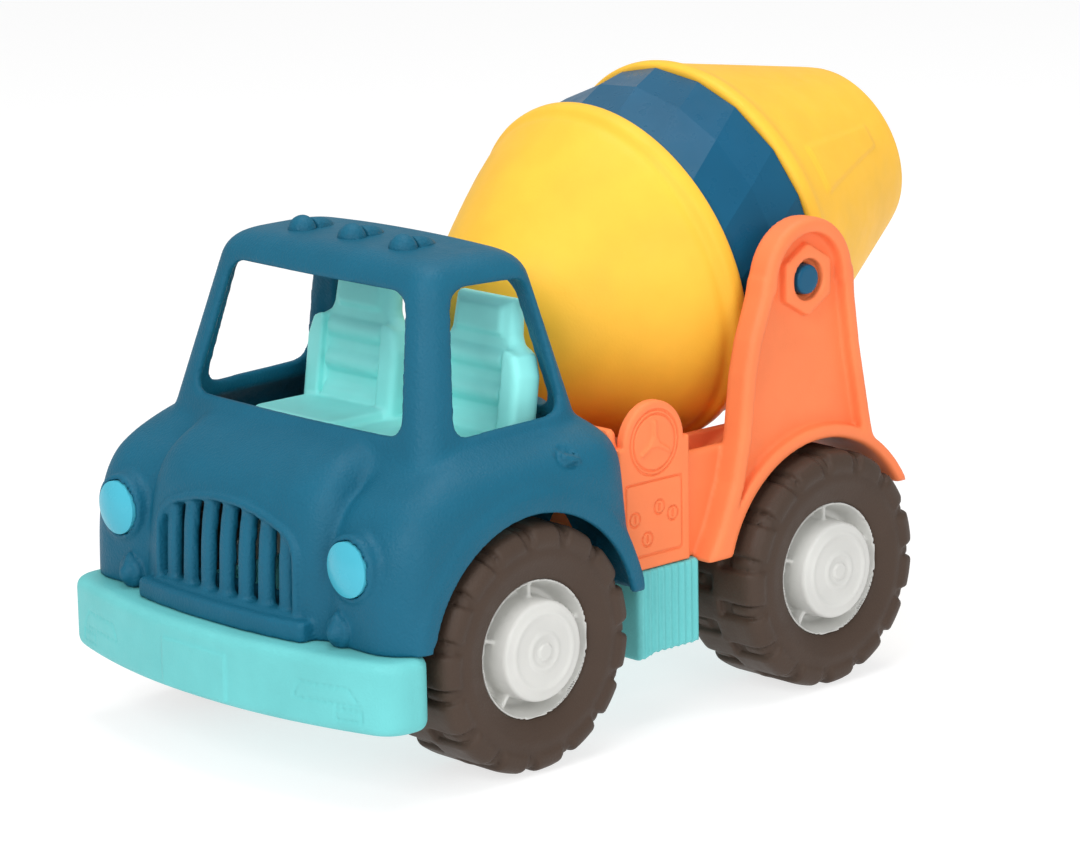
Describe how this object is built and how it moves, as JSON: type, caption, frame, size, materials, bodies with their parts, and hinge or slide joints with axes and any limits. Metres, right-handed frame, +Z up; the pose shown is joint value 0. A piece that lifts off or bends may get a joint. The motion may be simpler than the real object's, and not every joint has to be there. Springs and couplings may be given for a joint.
{
  "type": "toy cement mixer truck",
  "caption": "Chunky plastic toy cement mixer truck with rolling wheels, a hollow drum that spins and tips back to pour, and an open cab with seats.",
  "frame": {"origin": "on the floor under the middle of the whole toy, halfway between the bumper and the drum's mouth", "axes": "+X to the front of the truck, +Y to its left side, +Z up"},
  "size_m": [0.3009, 0.165, 0.2015],
  "materials": {
    "teal_plastic": "fine moulded grain, satin teal",
    "aqua_plastic": "smooth pale aqua",
    "blue_plastic": "fine spark-eroded grain, petrol blue",
    "sky_plastic": "smooth sky blue",
    "orange_plastic": "satin orange",
    "ring_plastic": "glossier blue with flat facets",
    "yellow_plastic": "satin yellow",
    "hub_plastic": "off-white satin",
    "tyre_brown": "dark brown, semi-hard moulded",
    "steel": "bright drawn steel"
  },
  "bodies": {
    "truck": {"chassis": "teal_plastic", "front_axle_cover": "teal_plastic", "rear_axle_cover": "teal_plastic", "seat_tub": "aqua_plastic", "cab_shell": "blue_plastic", "headlight_left": "sky_plastic", "headlight_right": "sky_plastic", "rear_frame": "orange_plastic", "body_screws": "steel", "axle_cover_screws": "steel"},
    "front_wheels": {"front_axle": "steel", "hub_front_left": "hub_plastic", "hub_front_right": "hub_plastic", "tyre_front_left": "tyre_brown", "tyre_front_right": "tyre_brown"},
    "rear_wheels": {"rear_axle": "steel", "hub_rear_left": "hub_plastic", "hub_rear_right": "hub_plastic", "tyre_rear_left": "tyre_brown", "tyre_rear_right": "tyre_brown"},
    "drum_cradle": {"drum_ring": "ring_plastic"},
    "drum": {"drum_front": "yellow_plastic", "drum_rear": "yellow_plastic"}
  },
  "joints": [
    {"name": "front_wheels_spin", "type": "hinge", "parent": "truck", "child": "front_wheels", "pos_m": [0.076, 0, 0.04], "axis": [0, 1, 0], "continuous": true},
    {"name": "rear_wheels_spin", "type": "hinge", "parent": "truck", "child": "rear_wheels", "pos_m": [-0.057, 0, 0.04], "axis": [0, 1, 0], "continuous": true},
    {"name": "drum_tilt", "type": "hinge", "parent": "truck", "child": "drum_cradle", "pos_m": [-0.0515, 0, 0.1376], "axis": [0, -1, 0], "range_deg": [0, 48]},
    {"name": "drum_spin", "type": "hinge", "parent": "drum_cradle", "child": "drum", "pos_m": [-0.0515, 0, 0.1376], "axis": [-0.9703, 0, 0.2419], "continuous": true}
  ]
}
